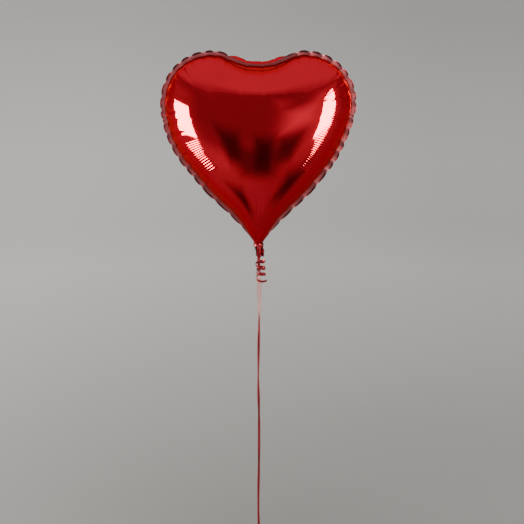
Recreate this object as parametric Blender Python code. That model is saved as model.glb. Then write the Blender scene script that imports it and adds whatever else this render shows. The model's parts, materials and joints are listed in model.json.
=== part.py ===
"""Heart-shaped foil balloon tied to a flat curling ribbon that is held by the loop in its lower end.

The origin is the inside of the end loop, where a hook, pin or finger holds the ribbon down. +Z runs up the
ribbon to the balloon, and the heart's front faces -Y.
"""

import math

import bmesh
import bpy
import numpy as np
from mathutils import Vector
from mathutils.geometry import interpolate_bezier

# General clearances and stock, in metres
GAP = 0.0003
FOIL = 0.0004
SEAM_GAP = 0.0004
RIBBON_WIDTH = 0.006

# Heights above the inside of the end loop
LOOP_HEIGHT = 0.046
LOOP_WIDTH = 0.024
LOOP_THICKNESS = 0.0006
DROP_PEAK = 0.75 * math.sqrt(3.0)  # largest value of sin(a) * (1 - cos(a)), the drop curve
END_KNOT_RADIUS = 0.0036
THROAT_Z = 0.680

# Inflated heart, measured from the throat: right half of its trimmed edge, from the throat up to the notch
THROAT_HALF_WIDTH = 0.0076
EDGE_CURVES = (
    ((THROAT_HALF_WIDTH, 0.0), (0.0200, 0.0240), (0.1080, 0.1100), (0.1490, 0.1580)),
    ((0.1490, 0.1580), (0.1765, 0.1902), (0.1960, 0.2400), (0.1960, 0.2850)),
    ((0.1960, 0.2850), (0.1960, 0.3450), (0.1520, 0.3920), (0.0920, 0.3920)),
    ((0.0920, 0.3920), (0.0560, 0.3920), (0.0460, 0.3625), (0.0, 0.3625)),
)
HEART_CENTRE = (0.0, 0.235)
BULGE = 0.096
SEAM_WIDTH = 0.0095
THROAT_SEAM_WIDTH = 0.0012
SEAM_TAPER_LENGTH = 0.080

# Inflation tail below the throat: height, half width and how much of its full depth it keeps
TAIL_ROWS = (
    (-0.0026, THROAT_HALF_WIDTH, 1.00),
    (-0.0052, THROAT_HALF_WIDTH, 1.00),
    (-0.0105, 0.0100, 0.85),
    (-0.0180, 0.0105, 0.65),
    (-0.0270, 0.0105, 0.45),
)

# Mesh density of a foil panel
HALF_SEGMENTS = 36
THROAT_SEGMENTS = 6
RINGS = 10

# Self-sealing valve: two clear strips from the tail's mouth up into the heart
VALVE_FILM = 0.0003
VALVE_OFFSET = 0.0003
VALVE_OUTLINE = ((0.0048, -0.0255), (0.0048, -0.0020), (0.0120, 0.0260), (0.0120, 0.0640))

# Ribbon turns round the throat, drawn as one ring
WRAP_Z = -0.0025
WRAP_HALF_HEIGHT = 0.0022
WRAP_HALF_THICKNESS = 0.0016
THROAT_HALF_DEPTH = 0.0083
WRAP_CORE = tuple(half + GAP + WRAP_HALF_THICKNESS for half in (THROAT_HALF_WIDTH, THROAT_HALF_DEPTH))
NECK_KNOT_RADIUS = 0.0030

# Curled end of the ribbon
CURL_RADIUS = 0.0095
CURL_TOP = -0.0300
CURL_BOTTOM = -0.0760
CURL_LEAN = 0.0030


def clear_scene():
    for item in list(bpy.data.objects):
        bpy.data.objects.remove(item, do_unlink=True)


def make_material(name, colour, roughness, metallic):
    material = bpy.data.materials.new(name)
    material.use_nodes = True
    shader = material.node_tree.nodes["Principled BSDF"]
    shader.inputs["Base Color"].default_value = (*colour, 1.0)
    shader.inputs["Roughness"].default_value = roughness
    shader.inputs["Metallic"].default_value = metallic
    material.diffuse_color = (*colour, 1.0)
    return material


def make_empty(name, location):
    empty = bpy.data.objects.new(name, None)
    empty.location = location
    bpy.context.collection.objects.link(empty)
    return empty


def add_object(name, data, material, parent):
    item = bpy.data.objects.new(name, data)
    data.materials.append(material)
    bpy.context.collection.objects.link(item)
    item.parent = parent
    return item


def smooth_step(value):
    value = np.clip(value, 0.0, 1.0)
    return value * value * (3.0 - 2.0 * value)


def resample(points, count):
    """Evenly spaced points along a polyline, and the distance of each from its start."""
    points = np.asarray(points, dtype=float)
    steps = np.linalg.norm(np.diff(points, axis=0), axis=1)
    travelled = np.concatenate(([0.0], np.cumsum(steps)))
    wanted = np.linspace(0.0, travelled[-1], count)
    columns = [np.interp(wanted, travelled, points[:, axis]) for axis in range(points.shape[1])]
    return np.stack(columns, axis=1), wanted


# ---------------------------------------------------------------------------- foil panels


def half_edge():
    """Right half of the heart's trimmed edge and of the seam inside it, from the throat to the notch."""
    dense = []
    for start, leave, arrive, end in EDGE_CURVES:
        curve = interpolate_bezier(*(Vector((*p, 0.0)) for p in (start, leave, arrive, end)), 60)
        dense.extend(point.to_2d() for point in curve[1 if dense else 0:])
    edge, travelled = resample(dense, HALF_SEGMENTS + 1)
    tangent = np.gradient(edge, axis=0)
    tangent[0] = (0.0, 1.0)
    tangent[-1] = (-1.0, 0.0)
    tangent /= np.linalg.norm(tangent, axis=1, keepdims=True)
    inward = np.stack((-tangent[:, 1], tangent[:, 0]), axis=1)
    width = THROAT_SEAM_WIDTH + (SEAM_WIDTH - THROAT_SEAM_WIDTH) * smooth_step(travelled / SEAM_TAPER_LENGTH)
    return edge, edge + inward * width[:, None]


def mirrored(half):
    """The whole open outline: up the right side to the notch, and down the left side."""
    return np.concatenate((half, half[-2::-1] * (-1.0, 1.0)))


def panel_grid():
    """Flat layout of one panel: points (x, z), faces, the points on or outside the seam, and depth factors."""
    edge, seam = (mirrored(half) for half in half_edge())
    across = -np.cos(np.linspace(0.0, math.pi, THROAT_SEGMENTS + 1))
    throat = np.stack((across[1:-1] * seam[0][0], np.zeros(THROAT_SEGMENTS - 1)), axis=1)
    rim = np.concatenate((seam, throat))
    columns, outline = len(rim), len(seam)
    centre = np.array(HEART_CENTRE)
    points, depth = [centre], [1.0]
    for ring in range(1, RINGS + 1):
        scale = math.sin(0.5 * math.pi * ring / RINGS)
        points.extend(centre + scale * (rim - centre))
        depth.extend([1.0] * columns)
    rim_start = 1 + (RINGS - 1) * columns
    strip = [[rim_start + (outline - 1 + step) % columns for step in range(THROAT_SEGMENTS + 1)]]
    for height, half_width, kept in TAIL_ROWS:
        strip.append(list(range(len(points), len(points) + THROAT_SEGMENTS + 1)))
        points.extend(np.stack((across * (half_width - THROAT_SEAM_WIDTH), np.full(len(across), height)), axis=1))
        depth.extend([kept] * len(across))
    outer = list(range(len(points), len(points) + outline))
    points.extend(edge)
    right = [outer[0]]
    left = [outer[-1]]
    for height, half_width, _ in TAIL_ROWS:
        right.append(len(points))
        left.append(len(points) + 1)
        points.extend(((half_width, height), (-half_width, height)))
    depth.extend([1.0] * (len(points) - len(depth)))

    faces = [(0, 1 + (c + 1) % columns, 1 + c) for c in range(columns)]
    for ring in range(RINGS - 1):
        inner, outer_ring = 1 + ring * columns, 1 + (ring + 1) * columns
        for c in range(columns):
            after = (c + 1) % columns
            faces.append((inner + c, inner + after, outer_ring + after, outer_ring + c))
    for above, below in zip(strip, strip[1:]):
        for step in range(THROAT_SEGMENTS):
            faces.append((above[step], above[step + 1], below[step + 1], below[step]))
    for c in range(outline - 1):
        faces.append((rim_start + c, rim_start + c + 1, outer[c + 1], outer[c]))
    for row in range(len(TAIL_ROWS)):
        faces.append((strip[row][-1], right[row], right[row + 1], strip[row + 1][-1]))
        faces.append((left[row], strip[row][0], strip[row + 1][0], left[row + 1]))
    held = set(range(rim_start, rim_start + outline)) | set(range(outer[0], len(points)))
    for row in strip:
        held.update((row[0], row[-1]))
    return np.array(points), faces, held, np.array(depth)


def inflated_height(points, faces, held):
    """Height of a film blown up off its flat layout: the square root of a loaded membrane's sag."""
    count = len(points)
    stiffness = np.zeros((count, count))
    load = np.zeros(count)
    for face in faces:
        for corner in range(1, len(face) - 1):
            triangle = (face[0], face[corner], face[corner + 1])
            a, b, c = (points[i] for i in triangle)
            edges = np.array((c - b, a - c, b - a))
            area = 0.5 * abs(edges[0][0] * edges[1][1] - edges[0][1] * edges[1][0])
            if area > 0.0:
                stiffness[np.ix_(triangle, triangle)] += edges @ edges.T / (4.0 * area)
                load[list(triangle)] += area / 3.0
    free = [i for i in range(count) if i not in held]
    sag = np.zeros(count)
    sag[free] = np.linalg.solve(stiffness[np.ix_(free, free)], load[free])
    return np.sqrt(np.clip(sag, 0.0, None) / sag.max())


def build_panel(name, side, material, parent):
    """One foil sheet: half of the heart, its seam margin and its half of the tail. side is -1 front, +1 rear."""
    points, faces, held, depth = panel_grid()
    height = BULGE * inflated_height(points, faces, held) * depth
    offset = FOIL + 0.5 * SEAM_GAP
    corners = [(x, side * (h + offset), z) for (x, z), h in zip(points, height)]
    mesh = bpy.data.meshes.new(name)
    mesh.from_pydata(corners, [], [face if side < 0 else face[::-1] for face in faces])
    mesh.update()
    mesh.shade_smooth()
    panel = add_object(name, mesh, material, parent)
    solidify = panel.modifiers.new("foil_thickness", "SOLIDIFY")
    solidify.thickness = FOIL
    solidify.offset = -1.0
    solidify.use_even_offset = True
    return panel


def build_valve_film(name, side, material, parent):
    """A flat clear strip, narrow in the throat and wider above it."""
    outline = list(VALVE_OUTLINE) + [(-x, z) for x, z in reversed(VALVE_OUTLINE)]
    near = side * VALVE_OFFSET
    far = side * (VALVE_OFFSET + VALVE_FILM)
    mesh = bpy.data.meshes.new(name)
    shape = bmesh.new()
    face = shape.faces.new([shape.verts.new((x, near, z)) for x, z in outline])
    made = bmesh.ops.extrude_face_region(shape, geom=[face])
    moved = [item for item in made["geom"] if isinstance(item, bmesh.types.BMVert)]
    bmesh.ops.translate(shape, verts=moved, vec=(0.0, far - near, 0.0))
    bmesh.ops.recalc_face_normals(shape, faces=shape.faces)
    shape.to_mesh(mesh)
    shape.free()
    return add_object(name, mesh, material, parent)


# ---------------------------------------------------------------------------- ribbon


def build_neck_wrap(name, material, parent):
    """The ribbon's turns round the throat: an oval ring with a flattened section."""
    mesh = bpy.data.meshes.new(name)
    shape = bmesh.new()
    around, section = 36, 10
    rings = []
    for step in range(around):
        angle = 2.0 * math.pi * step / around
        outward = Vector((math.cos(angle) * WRAP_CORE[1], math.sin(angle) * WRAP_CORE[0], 0.0)).normalized()
        core = Vector((math.cos(angle) * WRAP_CORE[0], math.sin(angle) * WRAP_CORE[1], 0.0))
        ring = []
        for turn in range(section):
            tilt = 2.0 * math.pi * turn / section
            reach = outward * (WRAP_HALF_THICKNESS * math.cos(tilt))
            ring.append(shape.verts.new(core + reach + Vector((0.0, 0.0, WRAP_HALF_HEIGHT * math.sin(tilt)))))
        rings.append(ring)
    for step in range(around):
        here, ahead = rings[step], rings[(step + 1) % around]
        for turn in range(section):
            after = (turn + 1) % section
            shape.faces.new((here[turn], ahead[turn], ahead[after], here[after]))
    bmesh.ops.recalc_face_normals(shape, faces=shape.faces)
    shape.to_mesh(mesh)
    shape.free()
    mesh.shade_smooth()
    wrap = add_object(name, mesh, material, parent)
    wrap.location = (0.0, 0.0, WRAP_Z)
    return wrap


def build_knot(name, radius, material, parent):
    """A pulled-tight knot, round so that the ribbon can turn on it."""
    mesh = bpy.data.meshes.new(name)
    shape = bmesh.new()
    bmesh.ops.create_uvsphere(shape, u_segments=16, v_segments=10, radius=radius)
    shape.to_mesh(mesh)
    shape.free()
    mesh.shade_smooth()
    return add_object(name, mesh, material, parent)


def smooth_route(route, spacing):
    """Points every so far along a smooth curve (Catmull-Rom) through the route's points."""
    route = [Vector(point) for point in route]
    padded = [route[0] * 2.0 - route[1], *route, route[-1] * 2.0 - route[-2]]
    dense = [route[0]]
    for before, start, end, after in zip(padded, padded[1:], padded[2:], padded[3:]):
        leave = start + (end - before) / 6.0
        arrive = end - (after - start) / 6.0
        dense.extend(interpolate_bezier(start, leave, arrive, end, 24)[1:])
    length = sum((b - a).length for a, b in zip(dense, dense[1:]))
    points, _ = resample(dense, max(2, round(length / spacing) + 1))
    return points


def build_tube(name, route, radius, spacing, material, parent):
    points = smooth_route(route, spacing)
    curve = bpy.data.curves.new(name, "CURVE")
    curve.dimensions = "3D"
    curve.bevel_depth = radius
    curve.bevel_resolution = 3
    curve.use_fill_caps = True
    spline = curve.splines.new("POLY")
    spline.points.add(len(points) - 1)
    for target, point in zip(spline.points, points):
        target.co = (*point, 1.0)
    return add_object(name, curve, material, parent)


def build_end_loop(name, material, parent):
    """A drop-shaped loop of the flat ribbon, seen face-on from the front."""
    mesh = bpy.data.meshes.new(name)
    shape = bmesh.new()
    count = 40
    inner, outer = [], []
    for step in range(count):
        angle = 2.0 * math.pi * step / count
        across = math.sin(angle) * (1.0 - math.cos(angle)) / DROP_PEAK
        inner.append(Vector((0.5 * LOOP_WIDTH * across, 0.0, 0.5 * LOOP_HEIGHT * (1.0 + math.cos(angle)))))
    for step in range(count):
        along = (inner[(step + 1) % count] - inner[step - 1]).normalized()
        outer.append(inner[step] + Vector((-along.z, 0.0, along.x)) * LOOP_THICKNESS)
    loops = []
    for y in (-0.5 * RIBBON_WIDTH, 0.5 * RIBBON_WIDTH):
        for line in (inner, outer):
            loops.append([shape.verts.new(point + Vector((0.0, y, 0.0))) for point in line])
    inner_front, outer_front, inner_back, outer_back = loops
    for step in range(count):
        after = (step + 1) % count
        for a, b in ((inner_front, outer_front), (outer_front, outer_back), (outer_back, inner_back),
                     (inner_back, inner_front)):
            shape.faces.new((a[step], a[after], b[after], b[step]))
    bmesh.ops.recalc_face_normals(shape, faces=shape.faces)
    shape.to_mesh(mesh)
    shape.free()
    return add_object(name, mesh, material, parent)


def main():
    clear_scene()
    foil = make_material("red_foil", (0.62, 0.012, 0.022), 0.10, 1.0)
    ribbon = make_material("red_ribbon", (0.66, 0.06, 0.09), 0.28, 0.25)
    film = make_material("clear_film", (0.82, 0.84, 0.85), 0.20, 0.0)

    end_knot_z = LOOP_HEIGHT + LOOP_THICKNESS + GAP + END_KNOT_RADIUS
    neck_knot_y = WRAP_CORE[1] + WRAP_HALF_THICKNESS + GAP + NECK_KNOT_RADIUS
    curl_y = -(WRAP_CORE[1] + WRAP_HALF_THICKNESS + GAP + 0.5 * RIBBON_WIDTH)
    throat = make_empty("throat_axis", (0.0, 0.0, THROAT_Z))
    loop = make_empty("end_loop_axis", (0.0, 0.0, 0.0))
    end_knot = make_empty("end_knot_axis", (0.0, 0.0, end_knot_z))
    neck_knot = make_empty("neck_knot_axis", (0.0, neck_knot_y, THROAT_Z + WRAP_Z))
    curl = make_empty("curl_axis", (0.0, curl_y, THROAT_Z + WRAP_Z))

    build_panel("front_foil_panel", -1, foil, throat)
    build_panel("rear_foil_panel", 1, foil, throat)
    build_valve_film("front_valve_film", -1, film, throat)
    build_valve_film("rear_valve_film", 1, film, throat)
    build_neck_wrap("neck_wrap", ribbon, throat)
    build_knot("neck_knot", NECK_KNOT_RADIUS, ribbon, neck_knot)

    # The tether leaves the back of the throat, runs behind the tail and the curl, and comes in over the loop
    tether_top = THROAT_Z + WRAP_Z - NECK_KNOT_RADIUS - GAP
    tether_bottom = end_knot_z + END_KNOT_RADIUS + GAP
    tether_route = (
        (0.0000, neck_knot_y, tether_top),
        (0.0002, 0.0145, 0.650),
        (0.0012, 0.0133, 0.600),
        (0.0014, 0.0116, 0.530),
        (0.0002, 0.0099, 0.460),
        (-0.0006, 0.0079, 0.380),
        (0.0008, 0.0060, 0.300),
        (0.0006, 0.0038, 0.210),
        (-0.0006, 0.0016, 0.120),
        (0.0000, 0.0000, tether_bottom + 0.010),
        (0.0000, 0.0000, tether_bottom),
    )
    local_route = [Vector(point) - end_knot.location for point in tether_route]
    build_tube("tether_ribbon", local_route, 0.5 * RIBBON_WIDTH, 0.015, ribbon, end_knot)
    build_knot("end_knot", END_KNOT_RADIUS, ribbon, end_knot)
    build_end_loop("end_loop", ribbon, loop)

    # The curled end hangs from the front of the throat, with its ringlet below the tail
    lead_bottom = CURL_TOP + GAP - WRAP_Z
    lead_route = ((0.0, 0.0, 0.001), (0.0002, 0.0, -0.010), (0.0008, 0.0, -0.019), (0.0014, 0.0, lead_bottom))
    build_tube("curl_lead", lead_route, 0.5 * RIBBON_WIDTH, 0.009, ribbon, curl)
    ringlet_route = (
        (0.0016, 0.0, CURL_TOP - WRAP_Z),
        (0.0026, 0.0, 0.5 * (CURL_TOP + CURL_BOTTOM) - WRAP_Z),
        (0.0016 + CURL_LEAN, 0.0, CURL_BOTTOM - WRAP_Z),
    )
    build_tube("curled_ribbon_end", ringlet_route, CURL_RADIUS, 0.012, ribbon, curl)


main()
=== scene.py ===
"""Looks of the heart-shaped foil balloon.

Mirror-red foil with a puckered, scalloped seam, a gathered throat and tail, and one flat curling
ribbon with its turns, knots, ringlet, taut tether and end loop. Lengths are in metres.
"""

import json
import math

import bpy
import numpy as np
from mathutils import Matrix, Vector


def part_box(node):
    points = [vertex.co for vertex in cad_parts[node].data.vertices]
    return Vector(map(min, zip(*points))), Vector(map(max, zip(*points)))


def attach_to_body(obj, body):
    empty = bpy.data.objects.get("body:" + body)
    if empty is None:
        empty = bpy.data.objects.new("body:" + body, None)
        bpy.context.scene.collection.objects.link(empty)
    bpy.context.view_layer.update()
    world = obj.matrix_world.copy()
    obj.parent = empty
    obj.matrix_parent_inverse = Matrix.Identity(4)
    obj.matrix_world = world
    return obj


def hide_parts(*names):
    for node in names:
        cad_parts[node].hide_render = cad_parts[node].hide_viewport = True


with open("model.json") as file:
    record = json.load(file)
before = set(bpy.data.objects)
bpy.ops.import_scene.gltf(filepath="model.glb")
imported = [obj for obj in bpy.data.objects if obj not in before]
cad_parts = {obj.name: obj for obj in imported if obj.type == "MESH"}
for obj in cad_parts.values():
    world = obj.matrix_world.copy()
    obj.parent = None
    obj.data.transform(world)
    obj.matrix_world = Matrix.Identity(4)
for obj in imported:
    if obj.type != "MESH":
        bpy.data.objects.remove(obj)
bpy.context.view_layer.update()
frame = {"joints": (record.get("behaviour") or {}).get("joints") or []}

# Places from the frame
JOINT_AT = {joint["name"]: Vector(joint["pos_m"])
            for joint in frame["joints"] if joint.get("pos_m")}
END_KNOT = JOINT_AT["ribbon_sway"]
NECK_KNOT = JOINT_AT["balloon_nod"]
CURL_TOP = JOINT_AT["curl_swing"]
TETHER_FOOT, TETHER_TOP = (corner.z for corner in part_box("tether_ribbon"))
WRAP_LOW, WRAP_HIGH = (Vector(corner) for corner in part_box("neck_wrap"))
WRAP_CENTRE = 0.5 * (WRAP_LOW + WRAP_HIGH)
THROAT_RISE = 0.0025
THROAT = Vector((0.0, 0.0, WRAP_CENTRE.z + THROAT_RISE))

# Right half of the heart's trimmed edge, from the throat to the notch, as (x, z) from the throat
THROAT_HALF_WIDTH = 0.0076
EDGE_CURVES = (
    ((THROAT_HALF_WIDTH, 0.0), (0.0200, 0.0240), (0.1080, 0.1100), (0.1490, 0.1580)),
    ((0.1490, 0.1580), (0.1765, 0.1902), (0.1960, 0.2400), (0.1960, 0.2850)),
    ((0.1960, 0.2850), (0.1960, 0.3450), (0.1520, 0.3920), (0.0920, 0.3920)),
    ((0.0920, 0.3920), (0.0560, 0.3920), (0.0460, 0.3625), (0.0, 0.3625)),
)
HEART_CENTRE = np.array((0.0, 0.235))
# The heart is fuller than the flat cut just above the throat and drawn in at its right-hand side:
# how much, at what height above the throat, and over what reach
FLANK_FULLNESS, FLANK_HEIGHT, FLANK_REACH = 0.055, 0.098, 0.035
RIGHT_TUCK, TUCK_HEIGHT, TUCK_REACH = 0.028, 0.205, 0.055

BULGE = 0.096
SEAM_WIDTH = 0.0095
THROAT_SEAM_WIDTH = 0.0012
SEAM_TAPER_LENGTH = 0.080
FOIL = 0.00012
WELD_GAP = 0.00012

# How finely the heart is meshed, and how finely its sag is solved before that
RINGS, OUTLINE_HALF, CHORD, MARGIN_ROWS = 58, 600, 18, 8
SAG_RINGS, SAG_OUTLINE_HALF, SAG_CHORD = 20, 61, 6

# Foil pushed out over the seam: at the notch, on the lobes' tops and behind the notch
NOTCH_LIFT = 0.0085
NOTCH_BROW = 0.0085
NOTCH_REACH = 0.062
REAR_BROW = 0.0120
REAR_SLOPE_PLACE, REAR_SLOPE_REACH = 0.045, 0.025
REAR_MIDDLE, REAR_MIDDLE_REACH = 0.86, 0.026
CROWN_BROW = 0.0040
CROWN_UPWARD, CROWN_FADE = 0.30, 0.45
BROW_RISE, BROW_STARTS, BROW_LENGTH = 0.0045, 0.0040, 0.068
WELD_BLEND = 0.005
NOTCH_FILL, NOTCH_FILL_REACH = 0.26, 0.075
PUFF, PUFF_LENGTH = 0.0007, 0.022
GATHER_DEPTH, GATHER_LENGTH, GATHER_PITCH = 0.0016, 0.019, 0.0043

# Puckers: their pitch and their ranges of depth, half width and length, then the listed ones,
# with their own depth, length and half width; a place below 0 counts back from the seam's end
LOWER_PITCH, UPPER_PITCH, UPPER_FROM = 0.036, 0.024, 0.17
FIRST_PUCKER, LAST_PUCKER = 0.030, 0.024
PUCKER_DEPTH, PUCKER_HALF_WIDTH = (0.0010, 0.0017), (0.0028, 0.0040)
LONG_PUCKER, SHORT_PUCKER, LONG_SHARE = (0.040, 0.058), (0.014, 0.026), 0.30
NOTCH_PUCKERS, NOTCH_PUCKER = (0.037, 0.009, -0.025), (0.0013, 0.055, 0.0024)
SIDE_PUCKERS, SIDE_PUCKER = (-0.315, 0.318), (0.0013, 0.075, 0.0052)

# Ribbed stretches of the seam, from the throat: the right-hand side, and the left-hand side
# mirrored; then how far in from the seam the ribs reach
RIBBED = ((0.178, 0.350), (0.172, 0.268))
RIB_PITCH = 0.0055
RIB_DEPTH = 0.00042
RIBS_START, RIBS_END = 0.010, 0.058

# The welded margin: where it runs smooth near the notch and the throat, its wander with the seam,
# its scallops, its curl and its narrowing
PLAIN_NOTCH, PLAIN_THROAT, PLAIN_FADE = 0.050, 0.012, 0.030
WELD_WANDER = 0.0011
SCALLOP = 0.20
MARGIN_CURL = 0.0020
NOTCH_MARGIN_LOSS = 0.50

TAIL_TOP = 0.0015
TAIL_FOOT = -0.0270
TAIL_LEAN = 0.0034
TAIL_HALF_WIDE, TAIL_WIDE_LOSS = 0.0090, 0.0016
TAIL_HALF_DEEP, TAIL_DEEP_LOSS, TAIL_FREED_LOSS = 0.0086, 0.0012, 0.0022
TAIL_RAGGED = 0.0011

VALVE_FOOT_DROP = 0.0022
VALVE_FOOT_HALF_WIDE, VALVE_WIDENING, VALVE_WIDENS_OVER = 0.0046, 0.0070, 0.026
VALVE_SLACK = 0.0010
VALVE_HALF_GAP = 0.0004

FOIL_DEEP, FOIL_BRIGHT = (0.64, 0.014, 0.029), (0.72, 0.017, 0.034)
# The tail's foil: the heart's foil painted darker, as painted shade for its crumpled folds
CRUMPLE_SHADE_DEEP, CRUMPLE_SHADE_BRIGHT = (0.09, 0.003, 0.006), (0.24, 0.007, 0.014)
FOIL_GLANCING = (0.62, 0.08, 0.13)
# The weld's own duller, paler tones, then a near-black painted shade for the scallops' tips
WELD_DEEP, WELD_PALE, WELD_TIP_SHADE = (0.60, 0.13, 0.155), (0.76, 0.23, 0.25), (0.10, 0.012, 0.016)
RIBBON_DEEP, RIBBON_PALE = (0.30, 0.004, 0.016), (0.44, 0.010, 0.032)
# Pale pink painted sheen for the ribbon, standing in for reflections of the bright room
RIBBON_PAINTED_SHEEN = (0.98, 0.66, 0.65)
FILM_DEEP, FILM_PALE = (0.80, 0.82, 0.83), (0.93, 0.94, 0.94)

RIBBON_WIDTH = 0.006
RIBBON_THICKNESS = 0.00025
RIBBON_LINES = 62.0
TETHER_WIDENING = 1.15
STRETCH_WIDENING = 0.35
STRETCH_FROM, STRETCH_TO = 0.060, 0.168
STRETCH_FADE_IN, STRETCH_FADE_OUT = 0.010, 0.024

TETHER_ROUTE = (
    (0.0000, NECK_KNOT.y, TETHER_TOP),
    (0.0002, 0.0145, 0.650),
    (0.0012, 0.0133, 0.600),
    (0.0014, 0.0116, 0.530),
    (0.0002, 0.0099, 0.460),
    (-0.0006, 0.0079, 0.380),
    (0.0008, 0.0060, 0.300),
    (0.0006, 0.0038, 0.210),
    (-0.0006, 0.0016, 0.120),
    (0.0000, 0.0000, TETHER_FOOT + 0.010),
    (0.0000, 0.0000, TETHER_FOOT),
)
# Quarter turns of the ribbon's face from the front, by distance down from the throat
TETHER_TWIST = (
    (0.000, 0.0), (0.060, 0.0), (0.120, 0.10), (0.155, 0.55), (0.215, 0.10), (0.285, 0.58),
    (0.330, 0.05), (0.376, -0.45), (0.420, 0.15), (0.471, -0.35), (0.550, 0.30), (0.630, 0.10),
)

CURL_WIDTH = 0.0048
CURL_RELAXING = 22
RINGLET_TURNS = 3.6
RINGLET_RADIUS = 0.0103
RINGLET_UNEVEN, RINGLET_UNEVEN_DROP = 0.07, 0.018
RINGLET_TIP = 0.0022
RINGLET_RISE = 0.0035
RINGLET_CLEARANCE = 0.0020
RINGLET_START = 0.75 * math.pi
RINGLET_AXIS_TOP, RINGLET_AXIS_FOOT = 0.0030, 0.0062

WRAP_TURNS = 3
WRAP_START = 0.5 * math.pi
WRAP_CLEARANCE = 0.0004
WRAP_TIGHTER, WRAP_UNEVEN, WRAP_TILT = 0.17, 0.02, 0.35
WRAP_RISE, WRAP_WOBBLE = 0.0012, 0.0008
WRAP_BAND = (0.0040, 0.0005)
KNOT_BAND = (0.0028, 0.0009)
NECK_KNOT_RADIUS = 0.0030
END_KNOT_RADIUS = 0.0036
LOOP_CLEARANCE = 0.0004
LOOP_THICKNESS = 0.0006
LOOP_SWAY = 0.35


# ------------------------------------------------ numbers and curves


def unit(vectors):
    return vectors / np.linalg.norm(vectors, axis=-1, keepdims=True)


def smooth_step(value):
    value = np.clip(value, 0.0, 1.0)
    return value * value * (3.0 - 2.0 * value)


def bezier(controls, count):
    t = np.linspace(0.0, 1.0, count)[:, None]
    a, b, c, d = (np.array(point, dtype=float) for point in controls)
    return a * (1 - t) ** 3 + 3 * b * t * (1 - t) ** 2 + 3 * c * t ** 2 * (1 - t) + d * t ** 3


def spline(x, y, wanted):
    """Natural cubic spline through rows y at x, read at the wanted places."""
    x, y, wanted = np.asarray(x, float), np.asarray(y, float), np.asarray(wanted, float)
    step = np.diff(x)
    slope = np.diff(y, axis=0) / step.reshape(-1, *[1] * (y.ndim - 1))
    count = len(x)
    system = np.eye(count)
    right = np.zeros_like(y)
    for i in range(1, count - 1):
        system[i, i - 1:i + 2] = (step[i - 1], 2.0 * (step[i - 1] + step[i]), step[i])
        right[i] = 6.0 * (slope[i] - slope[i - 1])
    bend = np.linalg.solve(system, right.reshape(count, -1)).reshape(y.shape)
    cell = np.clip(np.searchsorted(x, wanted, side="right") - 1, 0, count - 2)
    shape = (-1, *[1] * (y.ndim - 1))
    width = step[cell].reshape(shape)
    after = (wanted - x[cell]).reshape(shape)
    before = width - after
    line = (y[cell] * before + y[cell + 1] * after) / width
    curve = (bend[cell] * (before ** 3 / width - before * width)
             + bend[cell + 1] * (after ** 3 / width - after * width))
    return line + curve / 6.0


def travelled(points):
    steps = np.linalg.norm(np.diff(points, axis=0), axis=1)
    return np.concatenate(([0.0], np.cumsum(steps)))


def smooth_route(route, spacing):
    """Points every so far along a smooth curve (Catmull-Rom) through the route's points."""
    route = np.array(route, dtype=float)
    padded = np.vstack((2 * route[0] - route[1], route, 2 * route[-1] - route[-2]))
    dense = [route[:1]]
    for before, start, end, after in zip(padded, padded[1:], padded[2:], padded[3:]):
        controls = (start, start + (end - before) / 6, end - (after - start) / 6, end)
        dense.append(bezier(controls, 25)[1:])
    dense = np.vstack(dense)
    far = travelled(dense)
    wanted = np.linspace(0.0, far[-1], max(2, round(far[-1] / spacing) + 1))
    return np.stack([np.interp(wanted, far, dense[:, axis]) for axis in range(3)], axis=1)


def relaxed(path, passes):
    """The same path with its tight kinks eased out and both ends kept."""
    for _ in range(passes):
        eased = 0.25 * path[:-2] + 0.5 * path[1:-1] + 0.25 * path[2:]
        path = np.vstack((path[:1], eased, path[-1:]))
    return path


# ------------------------------------------------ materials


def new_material(name):
    material = bpy.data.materials.new(name)
    material.use_nodes = True
    nodes, links = material.node_tree.nodes, material.node_tree.links
    return material, nodes, links, nodes["Principled BSDF"]


def painted(nodes, name):
    """Values that a mesh carries under this name."""
    node = nodes.new("ShaderNodeAttribute")
    node.attribute_name = name
    return node.outputs["Fac"]


def noise(nodes, links, scale, detail, vector=None):
    texture = nodes.new("ShaderNodeTexNoise")
    texture.inputs["Scale"].default_value = scale
    texture.inputs["Detail"].default_value = detail
    if vector is not None:
        links.new(vector, texture.inputs["Vector"])
    return texture.outputs["Fac"]


def remap(nodes, links, value, low, high, to_low, to_high):
    node = nodes.new("ShaderNodeMapRange")
    links.new(value, node.inputs["Value"])
    limits = {"From Min": low, "From Max": high, "To Min": to_low, "To Max": to_high}
    for socket, number in limits.items():
        node.inputs[socket].default_value = number
    return node.outputs["Result"]


def mix_colours(nodes, links, factor, first, second, blend="MIX"):
    """Factor is a number or an output; each colour is a tuple or an output."""
    node = nodes.new("ShaderNodeMix")
    node.data_type = "RGBA"
    node.blend_type = blend
    if isinstance(factor, float):
        node.inputs["Factor"].default_value = factor
    else:
        links.new(factor, node.inputs["Factor"])
    for socket, colour in ((node.inputs[6], first), (node.inputs[7], second)):
        if isinstance(colour, tuple):
            socket.default_value = (*colour, 1.0)
        else:
            links.new(colour, socket)
    return node.outputs[2]


def calculate(nodes, links, operation, first, second=None):
    """One arithmetic step; the second value is a number, another output, or left out."""
    node = nodes.new("ShaderNodeMath")
    node.operation = operation
    links.new(first, node.inputs[0])
    if isinstance(second, float):
        node.inputs[1].default_value = second
    elif second is not None:
        links.new(second, node.inputs[1])
    return node.outputs["Value"]


def set_inputs(shader, **values):
    """Plain values for a shader's inputs, named as in Blender with _ for each space."""
    for name, value in values.items():
        shader.inputs[name.replace("_", " ")].default_value = value


def add_bump(nodes, links, shader, height, strength, distance):
    node = nodes.new("ShaderNodeBump")
    node.inputs["Strength"].default_value = strength
    node.inputs["Distance"].default_value = distance
    links.new(height, node.inputs["Height"])
    links.new(node.outputs["Normal"], shader.inputs["Normal"])


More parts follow.
